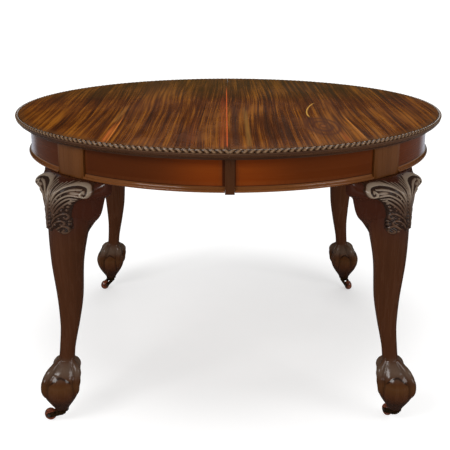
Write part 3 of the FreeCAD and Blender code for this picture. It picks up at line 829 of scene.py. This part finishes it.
def make_leg_mesh():
    """Shaft, ball, web and four jointed claws as one skin, drawn with the leg on +X."""
    around = 72
    levels = np.linspace(SECTIONS[0][0], SECTIONS[-1][0], 120)
    parts = [closed_rings(section_points(levels, around))]
    z = np.linspace(BALL[0][0], BALL[-1][0], 60)[:, None]
    r = smooth_table(BALL, z)[0]
    a = np.linspace(0, 2 * math.pi, around, endpoint=False)[None, :]
    ball = np.stack([BALL_R / MM + r * np.cos(a), r * np.sin(a), np.repeat(z, around, 1)], 2)
    parts.append(closed_rings(ball))
    _, near, edge = web_edge(a)
    height = WEB_TOP + (edge - WEB_TOP) * np.linspace(0, 1, 46)[:, None]
    r = np.interp(height, *zip(*WEB)) - 3.0 * (1 - near) * hump(height, WEB_ARCH, 12)
    web = np.stack([foot_axis(height) + r * np.cos(a), r * np.sin(a), height], 2)
    parts.append(closed_rings(web[::-1]))
    for turn in np.radians(TOE_TURNS):
        points = []
        for reach, h, _ in TOE:
            points.append(((foot_axis(h) + reach * math.cos(turn)) * MM, reach * math.sin(turn) * MM, h * MM))
        parts.append(tube(points, [radius * MM for _, _, radius in TOE], 18, 60))
    leg = remeshed(join_parts("leg_skin", parts), 1.5 * MM, 3)
    mark_grooves(leg)
    return leg


def mark_grooves(leg):
    """Shade of the hollows beside the claws and under the web's edge, as a value on the mesh."""
    points = np.empty(len(leg.data.vertices) * 3)
    leg.data.vertices.foreach_get("co", points)
    points = points.reshape(-1, 3) / MM
    shade = np.zeros(len(points))
    foot = np.where(points[:, 2] < 186)[0]
    p = points[foot]
    gap, _, edge = web_edge(np.arctan2(p[:, 1], p[:, 0] - BALL_R / MM))
    under = hump(p[:, 2], edge - 2.5, 2.6) * unit((gap - 0.2) / 0.15)
    nearest = np.full(len(p), 1e9)
    for turn in np.radians(TOE_TURNS):
        for reach, height, radius in smooth_path(TOE, 60):
            at = np.array([foot_axis(height) + reach * math.cos(turn), reach * math.sin(turn), height])
            nearest = np.minimum(nearest, np.linalg.norm(p - at, axis=1) - radius)
    beside = 0.6 * hump(nearest, 2.4, 2.4) * np.clip((140 - p[:, 2]) / 10, 0.2, 1)
    shade[foot] = unit(np.maximum(under, beside))
    leg.data.attributes.new("groove", "FLOAT", "POINT").data.foreach_set("value", shade)


# Strokes of the knee's carving, in mm: (points as distance from the middle and height, half width, relief)
STROKES = [
    ([(3, 585), (7, 606), (17, 627), (33, 641), (54, 647), (76, 648), (95, 645), (105, 638), (106, 629),
      (99, 622.5), (90, 623), (86, 629.5), (90, 635.5), (96, 633)], 3.3, 5.0),
    ([(4, 578), (10, 598), (24, 618), (42, 631), (62, 637), (82, 638.5)], 2.5, 3.6),
    ([(5, 568), (12, 588), (26, 607), (44, 619), (62, 625), (84, 623)], 2.6, 3.8),
    ([(6, 560), (14, 580), (27, 597), (42, 609), (58, 616), (76, 616)], 2.4, 3.2),
    ([(11, 562), (18, 574), (30, 588), (44, 600), (57, 608), (67, 611)], 2.4, 3.2),
    ([(6, 545), (13, 559), (23, 568), (34, 574), (44, 574), (47, 567), (42, 562), (37, 566)], 2.2, 3.2),
    ([(5, 534), (12, 545), (21, 553), (31, 556), (37, 551), (34, 545), (28, 547)], 2.1, 3.0),
    ([(14, 527), (22, 536), (32, 542), (42, 540), (45, 531), (39, 525), (32, 528), (35, 533)], 2.4, 3.6),
    ([(2, 606), (5, 626), (8, 650)], 2.0, 2.8),
    ([(7, 616), (13, 634), (19, 650)], 2.0, 2.6),
    ([(14, 625), (22, 639), (31, 650)], 2.0, 2.4),
    ([(27, 636), (38, 645), (50, 651)], 1.8, 2.0),
]
# Round beads beside the scrolls, and a row down the middle: (distance from the middle, height, radius)
BEADS = [
    (61, 611, 3.4), (55, 603, 3.2), (50, 594, 3.2), (46, 585, 3.0), (47, 556, 2.8), (46, 548, 2.8),
    (25, 529, 2.8), (9, 526, 2.6), (17, 545, 2.2), (26, 562, 2.4), (12, 571, 2.2), (23, 577, 2.4),
    (33, 583, 2.2), (13, 598, 2.2), (22, 610, 2.2), (34, 620, 2.0), (39, 592, 2.2), (20, 586, 2.0),
]
BEADS += [(0, 606 - 9 * i, 3.2 - 0.08 * i) for i in range(10)]
# A smooth rise between the scrolls: distance from the middle, height, half width, half height, relief
SWELL = (70, 630.5, 17, 3.8, 2.4)
# Outline of the carved face with its ears: height and half width, in mm
KNEE_EDGE = [
    (512, 40), (518, 45), (524, 49), (532, 51), (540, 51), (549, 51), (558, 50), (566, 49), (573, 50),
    (580, 52), (590, 56), (600, 61), (608, 68), (615, 80), (618, 92), (624, 104), (632, 109), (640, 108),
    (647, 100), (652, 98), (656, 96),
]


def carving_foot(t):
    """Height of the carving's lower end, in mm: a lobe on each side of a short point in the middle."""
    return 538 - 19 * hump(np.abs(t), 33, 15) - 15 * hump(t, 0, 9)


def knee_relief(t, z):
    """Height of the carving in mm, with and without its fine veins, at distance t and height z."""
    t = np.abs(t)
    height = np.zeros_like(t)
    for points, width, peak in STROKES:
        path = smooth_path(points, 14 * len(points))
        taper = np.interp(np.linspace(0, 1, len(path)), [0, 0.12, 0.8, 1], [0.45, 1, 1, 0.8])
        nearest, at = np.full(t.shape, 1e9), np.zeros(t.shape, int)
        for k, (pt, pz) in enumerate(path):
            gap = (t - pt) ** 2 + (z - pz) ** 2
            closer = gap < nearest
            nearest = np.where(closer, gap, nearest)
            at = np.where(closer, k, at)
        reach = width * taper[at]
        rise = peak * taper[at] * unit(1 - nearest / reach**2) ** 0.6
        height = np.maximum(height, rise)
    for bt, bz, size in BEADS:
        gap = (t - bt) ** 2 + (z - bz) ** 2
        height = np.maximum(height, 1.15 * size * np.sqrt(unit(1 - gap / size**2)))
    st, sz, wide, high, peak = SWELL
    height = np.maximum(height, peak * hump(t, st, wide) * hump(z, sz, high))
    veins = 0.6 * np.sin((z * 0.9 - t * 0.75) * 1.35) * (t > 3)
    return height + veins * unit(1 - height / 1.6), height


def knee_surface(z, t, shaft=True):
    """How far out the plain knee stands, in mm, at heights z (rows) and distances t (rows by columns).

    With shaft the swelling is blended into the leg's own face; without it only the swelling is given.
    """
    core = section_points(z, 720)
    plain, blend = 560.0, 6.0
    (edge,) = smooth_table(WING_EDGE, np.maximum(z, WING_EDGE[0][0]))
    surface = np.zeros_like(t)
    rim = np.sqrt(WING_RIM_R**2 - t**2)
    for i in range(len(z)):
        middle = (core[i, :, 0].min() + core[i, :, 0].max()) / 2
        outer = core[i][core[i, :, 0] > middle - 30]
        order = np.argsort(outer[:, 1])
        body = np.interp(t[i], outer[order, 1], outer[order, 0])
        body = np.where(np.abs(t[i]) > outer[:, 1].max() - 1, plain, body)
        arris = core[i, :, 0].max() - 1.0
        power = np.interp(z[i], [540, 580, 605, 622, 645], [1.7, 2.0, 2.5, 3.4, 3.8])
        swell = rim[i] + (arris - rim[i]) * (1 - unit(np.abs(t[i]) / edge[i]) ** power)
        grow = unit((z[i] - 505) / 42)
        swell = plain + (swell - plain) * grow * grow * (3 - 2 * grow)
        surface[i] = np.logaddexp(body / blend, swell / blend) * blend if shaft else swell
    tuck = np.sqrt(unit(1 - (np.clip(z - 627, 0, None) / 26.5) ** 2))[:, None]
    return np.where(surface > rim, rim + (surface - rim) * tuck, surface)


def plate_solid(front, t, z, back_r):
    """Verts and faces of a slab whose front stands at front, by rows and columns, and whose back is flat."""
    rows, cols = front.shape
    face = np.stack([front, t, np.repeat(z[:, None], cols, 1)], 2)
    back = face.copy()
    back[:, :, 0] = back_r
    faces = grid_faces(rows, cols)
    base = rows * cols
    faces += [tuple(i + base for i in f[::-1]) for f in grid_faces(rows, cols)]
    ring = list(range(cols)) + [i * cols + cols - 1 for i in range(1, rows)]
    ring += [(rows - 1) * cols + j for j in range(cols - 2, -1, -1)]
    ring += [i * cols for i in range(rows - 2, 0, -1)]
    faces += [(b, a, a + base, b + base) for a, b in zip(ring, ring[1:] + ring[:1])]
    return np.concatenate([face.reshape(-1, 3), back.reshape(-1, 3)]) * MM, faces


def across(outline, low, high, rows, cols):
    """Heights z, shares u from -1 to 1 across an outline, its half widths, and distances from the middle."""
    z = np.linspace(low, high, rows)
    u = np.linspace(-1, 1, cols)[None, :]
    edge = smooth_table(outline, z)[0][:, None]
    return z, u, edge, u * edge


def make_wing_mesh():
    """The plain knee behind the carving, with a wing on each side up to the apron."""
    z, u, edge, t = across(WING_EDGE, 506, 652.6, 110, 121)
    front = knee_surface(z, t, shaft=False) + 0.8 - 5.0 * unit((546 - z) / 26)[:, None] ** 1.5
    near = unit((1 - np.abs(u)) * edge / 3.0)
    front -= 2.2 * (1 - np.sqrt(near * (2 - near)))
    return closed_object("wing_skin", *plate_solid(front, t, z, WING_BACK), 50)


def make_knee_mesh():
    """The carved face over the knee and its two ears, with its sides drawn back into the plain knee."""
    z, u, edge, t = across(KNEE_EDGE, 512, 652.4, 210, 261)
    height = np.repeat(z[:, None], t.shape[1], 1)
    relief, carved = knee_relief(t, height)
    rim = unit((1 - np.abs(u)) * edge / 3.0)
    start = unit((height - carving_foot(t)) / 4)
    fade = start * np.clip((654 - height) / 6, 0.3, 1)
    lift = (2.4 + relief) * fade * (0.35 + 0.65 * np.sqrt(rim)) - (1 - start) * 3.5
    lift += 11.0 * hump(np.abs(t), 103, 11) * hump(height, 631, 13)
    front = np.stack([knee_surface(z, t) + lift, t], 2)
    left, right = front[:, :1], front[:, -1:]
    # each side goes back in two steps, 7 mm in all and a little toward the middle
    back_left, back_right = (side * [1, 0.985] - [7.0, 0] for side in (left, right))
    full = np.concatenate([back_left, (left + back_left) / 2, front, (right + back_right) / 2, back_right], 1)
    obj = closed_object("knee_skin", *plate_solid(full[:, :, 0], full[:, :, 1], z, KNEE_BACK))
    tone = np.full((2, *full.shape[:2]), 0.1)
    tone[0, :, 2:-2] = unit(carved / 4.6) * (0.3 + 0.7 * rim)
    obj.data.attributes.new("relief", "FLOAT", "POINT").data.foreach_set("value", tone.reshape(-1))
    return obj


def make_block_mesh():
    """Face block over the leg, with softened edges, drawn on +X."""
    half = math.radians(5.1) - 0.0004
    inner, outer = 505.0 * MM, 576.0 * MM
    low, high = BLOCK_FOOT_Z, TOP_UNDER
    soft, steps = 1.2 * MM, 17
    profile = [(inner, low), (outer - soft, low), (outer, low + soft), (outer, high), (inner, high)]
    verts = []
    for k, a in enumerate(np.linspace(-half, half, steps)):
        reach = outer - soft if k in (0, steps - 1) else outer
        verts += [(min(r, reach) * math.cos(a), min(r, reach) * math.sin(a), z) for r, z in profile]
    return closed_object("block_skin", verts, capped_faces(steps, len(profile)), 40)


def make_legs():
    skins = (
        (make_leg_mesh(), "shaft", M_LEG, "carved_leg"),
        (make_wing_mesh(), "wing", M_LEG, "knee_bracket"),
        (make_knee_mesh(), "knee", M_KNEE, "carved_leg"),
        (make_block_mesh(), "block", M_BLOCK, "carved_leg"),
    )
    for leg in LEGS:
        for skin, word, material, slot in skins:
            piece = copy_at(skin, f"{word}_{leg}", leg_angle(leg))
            paint(piece, material)
            if word == "shaft":
                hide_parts(f"leg_{leg}")
            if word == "wing":
                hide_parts(f"knee_brackets_{leg}")
            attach(piece, half_of(leg))
    for skin, *_ in skins:
        bpy.data.objects.remove(skin)


# ------------ castors
def make_wheels():
    for leg in LEGS:
        low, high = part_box(f"castor_wheel_{leg}")
        centre = (low + high) / 2
        radius = centre.z - low.z
        pivot = foot_centre(leg)
        trail = Vector((centre.x - pivot.x, centre.y - pivot.y, 0)).normalized()
        half, bore = 7.5 * MM, 3.06 * MM
        hub = [(bore, -half), (6.5 * MM, -half), (7.2 * MM, -half + 0.8 * MM)]
        hub += [(9.5 * MM, -half + 1.3 * MM), (11.5 * MM, -half + 0.6 * MM), (12.6 * MM, -half)]
        tread = [(radius - 2.4 * MM * abs(s) ** 2.2, half * s * 0.98) for s in np.linspace(-1, 1, 11)]
        profile = hub + tread + [(r, -z) for r, z in reversed(hub)]
        wheel = lathe(f"wheel_{leg}", profile, 56, "Y")
        turned = Matrix.Translation(centre) @ Matrix.Rotation(math.atan2(trail.y, trail.x), 4, "Z")
        wheel.data.transform(turned)
        paint(wheel, M_WHEEL)
        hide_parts(f"castor_wheel_{leg}")
        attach(wheel, f"castor_roller_{leg}")


# ------------ lead screw
# The journal starts here along X. The profile of its collars: radius and distance back from there, in mm
JOURNAL_X = -0.484
COLLARS = [
    (9.0, 0.5), (15.2, 0.5), (16.0, 1.3), (16.0, 8.7), (15.2, 9.5), (9.0, 9.5), (9.0, 22.5), (15.2, 22.5),
    (16.0, 23.3), (16.0, 29.7), (15.2, 30.5), (8.0, 30.5), (0.3, 30.5),
]


def make_lead_screw():
    low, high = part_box("lead_screw")
    z = (low.z + high.z) / 2
    pitch, crest, root = 12.7 * MM, 12.45 * MM, 9.6 * MM
    start, end = low.x + 57 * MM, high.x
    per_turn = 28
    steps = int((end - start) / pitch * per_turn)
    profile = [(root, 0.0), (root, 0.42), (crest, 0.52), (crest, 0.9)]
    cols = len(profile)
    verts = []
    for k in range(steps + 1):
        a = 2 * math.pi * k / per_turn
        x = start + k * pitch / per_turn
        for r, share in profile:
            at = min(max(x + (share - 1.0) * pitch, start), end)
            verts.append((at, r * math.cos(a), z + r * math.sin(a)))
    faces = grid_faces(steps + 1, cols)
    for k in range(steps - per_turn):
        last, first = k * cols + cols - 1, (k + per_turn) * cols
        faces.append((last, last + cols, first + cols, first))
    thread = new_object("lead_screw_thread", verts, faces, 40)
    profile = [(0.3 * MM, end - 0.5 * MM), (root, end - 0.5 * MM), (root, start)]
    profile += [(r * MM, JOURNAL_X - distance * MM) for r, distance in COLLARS]
    shaft = lathe("lead_screw_shaft", profile, 40, "X", at=(0, 0, z), angle=30)
    half = 6 * MM
    corners = ((-half, -half), (half, -half), (half, half), (-half, half))
    square = [(x, y, z + up) for x in (low.x, JOURNAL_X - 28 * MM) for y, up in corners]
    sides = [(0, 1, 2, 3), (4, 5, 6, 7), (0, 1, 5, 4), (1, 2, 6, 5), (2, 3, 7, 6), (3, 0, 4, 7)]
    drive = closed_object("lead_screw_square", square, sides, 30)
    edge = drive.modifiers.new("edge", "BEVEL")
    edge.width, edge.segments = 0.8 * MM, 2
    for piece in (thread, shaft, drive):
        paint(piece, M_STEEL)
        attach(piece, "lead_screw")
    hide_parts("lead_screw")


# ------------ CAD pieces that stay
def dress_cad():
    """Materials for the CAD pieces that stay, by how their names start."""
    looks = (
        (M_BEAD, "apron_bead"),
        (M_VENEER, "apron_"),
        (M_STILE, "seam_stiles"),
        (M_BRASS, "castor_plate", "castor_horn", "winder_escutcheon"),
        (M_STEEL, "castor_axle", "leg_bolts", "runner_screws"),
        (M_IRON, "screw_bearing", "screw_nut"),
        (M_FRAME_X, "outer_runner", "middle_runner", "inner_runner", "leaf_pegs"),
        (M_FRAME_Y, "middle_ties", "bearer_", "nut_bar", "leg_braces"),
    )
    for node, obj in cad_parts.items():
        for material, *starts in looks:
            if node.startswith(tuple(starts)):
                paint(obj, material)
                break


# ------------ stage
def make_floor():
    """Pale floor that lights itself a little, with painted shadow that makes it dimmer under the table, and
    dim in the polish.
    """
    reach = 30
    corners = [(-reach, -reach, 0), (reach, -reach, 0), (reach, reach, 0), (-reach, reach, 0)]
    floor = new_object("floor", corners, [(0, 1, 2, 3)])
    n = Surface("pale_floor")
    p = n.xyz()
    away = n.hypot(p[0], p[1])
    paper = n.noise(n.vector(p[0], p[1], 0.0), 3.0, 2.0)
    colour = n.ramp(paper, [(0.3, (0.5, 0.5, 0.5)), (0.7, (0.52, 0.52, 0.52))])
    n.finish(colour, 0.9, Specular_IOR_Level=0.0, Emission_Color=(1, 1, 1, 1))
    # painted shadow: the floor's own light is weaker inside an oval under the table, and stronger far from it
    near = n.hypot(p[0], n.times(n.minus(p[1], 0.19), 0.95))
    glow_with_painted_shadow = n.plus(n.span(near, 0.44, 0.76, 0.485, 0.68), n.span(away, 1.0, 5.0, 0.0, 0.2))
    n.link(glow_with_painted_shadow, n.shader.inputs["Emission Strength"])
    dim = n.add("ShaderNodeEmission")
    n.link(n.span(away, 1.0, 4.0, 0.03, 0.3), dim.inputs["Strength"])
    n.by_ray(n.shader, dim, n.out)
    paint(floor, n.owner)


def make_wall():
    """A white wall far round the floor, seen directly but left out of mirrored and scattered light."""
    steps, far, foot, head = 96, 29.0, -0.5, 14.0
    turns = [2 * math.pi * i / steps for i in range(steps)]
    points = [(far * math.cos(a), far * math.sin(a), z) for z in (foot, head) for a in turns]
    wall = new_object("wall", points, grid_faces(2, steps, False, True))
    n = Surface("white_wall")
    chalk = n.ramp(n.noise(n.place(), 2.0, 2.0), [(0.3, (0.78, 0.78, 0.78)), (0.7, (0.8, 0.8, 0.8))])
    n.finish(chalk, 0.9, Specular_IOR_Level=0.0, Emission_Color=(1, 1, 1, 1), Emission_Strength=1.0)
    paint(wall, n.owner)
    for kind in ("glossy", "diffuse", "shadow", "transmission"):
        setattr(wall, "visible_" + kind, False)


# The room that the polish mirrors, by rise over depth of the ray: a low olive wall, a brown band over it,
# a black line, a dark room and a slightly lighter ceiling
ROOM = [
    (0.000, (0.06, 0.07, 0.03)), (0.1535, (0.05, 0.06, 0.026)), (0.1555, (0.035, 0.024, 0.026)),
    (0.169, (0.03, 0.02, 0.022)), (0.1705, (0.0, 0.0, 0.0)), (0.1745, (0.0, 0.0, 0.0)),
    (0.1775, (0.02, 0.012, 0.006)), (0.5, (0.02, 0.014, 0.01)), (0.8, (0.05, 0.045, 0.04)),
    (1.0, (0.14, 0.13, 0.12)),
]


def make_world():
    """Even white light on everything, and the dark room in mirrored rays."""
    world = bpy.data.worlds.new("studio")
    bpy.context.scene.world = world
    n = Nodes(world)
    p = n.xyz("Generated")
    soft, room = n.add("ShaderNodeBackground"), n.add("ShaderNodeBackground")
    n.put(soft.inputs["Color"], (1, 1, 1, 1))
    n.put(soft.inputs["Strength"], 0.5)
    n.put(room.inputs["Color"], n.ramp(n.over(p[2], n.math("ABSOLUTE", p[1])), ROOM))
    n.by_ray(soft, room, n.add("ShaderNodeOutputWorld"))


def make_lights():
    """Three soft boxes that face the table: name, place, size in metres and power in watts."""
    boxes = (
        ("key_light", (-2.6, -3.2, 3.4), (2.0, 1.6), 95),
        ("fill_light", (3.2, -2.4, 2.6), (1.8, 1.6), 45),
        ("back_light", (0.4, 3.4, 3.2), (2.6, 1.2), 35),
    )
    for name, place, size, power in boxes:
        light = bpy.data.lights.new(name, "AREA")
        light.shape = "RECTANGLE"
        light.size, light.size_y = size
        light.energy = power
        obj = in_scene(name, light)
        obj.location = place
        aim = Vector((0, 0, 0.4)) - Vector(place)
        obj.rotation_mode = "QUATERNION"
        obj.rotation_quaternion = aim.to_track_quat("-Z", "Y")


def make_camera():
    data = bpy.data.cameras.new("camera")
    data.sensor_width = 36.0
    data.lens = CAMERA_LENS
    data.shift_y = CAMERA_SHIFT
    data.clip_start, data.clip_end = 0.05, 200.0
    cam = in_scene("camera", data)
    cam.location = CAMERA_AT
    cam.rotation_euler = (math.radians(90.0 - CAMERA_DOWN), 0.0, 0.0)
    bpy.context.scene.camera = cam


bpy.context.scene.view_settings.view_transform = "Standard"
make_top()
make_legs()
make_wheels()
make_lead_screw()
dress_cad()
make_floor()
make_wall()
make_world()
make_lights()
make_camera()
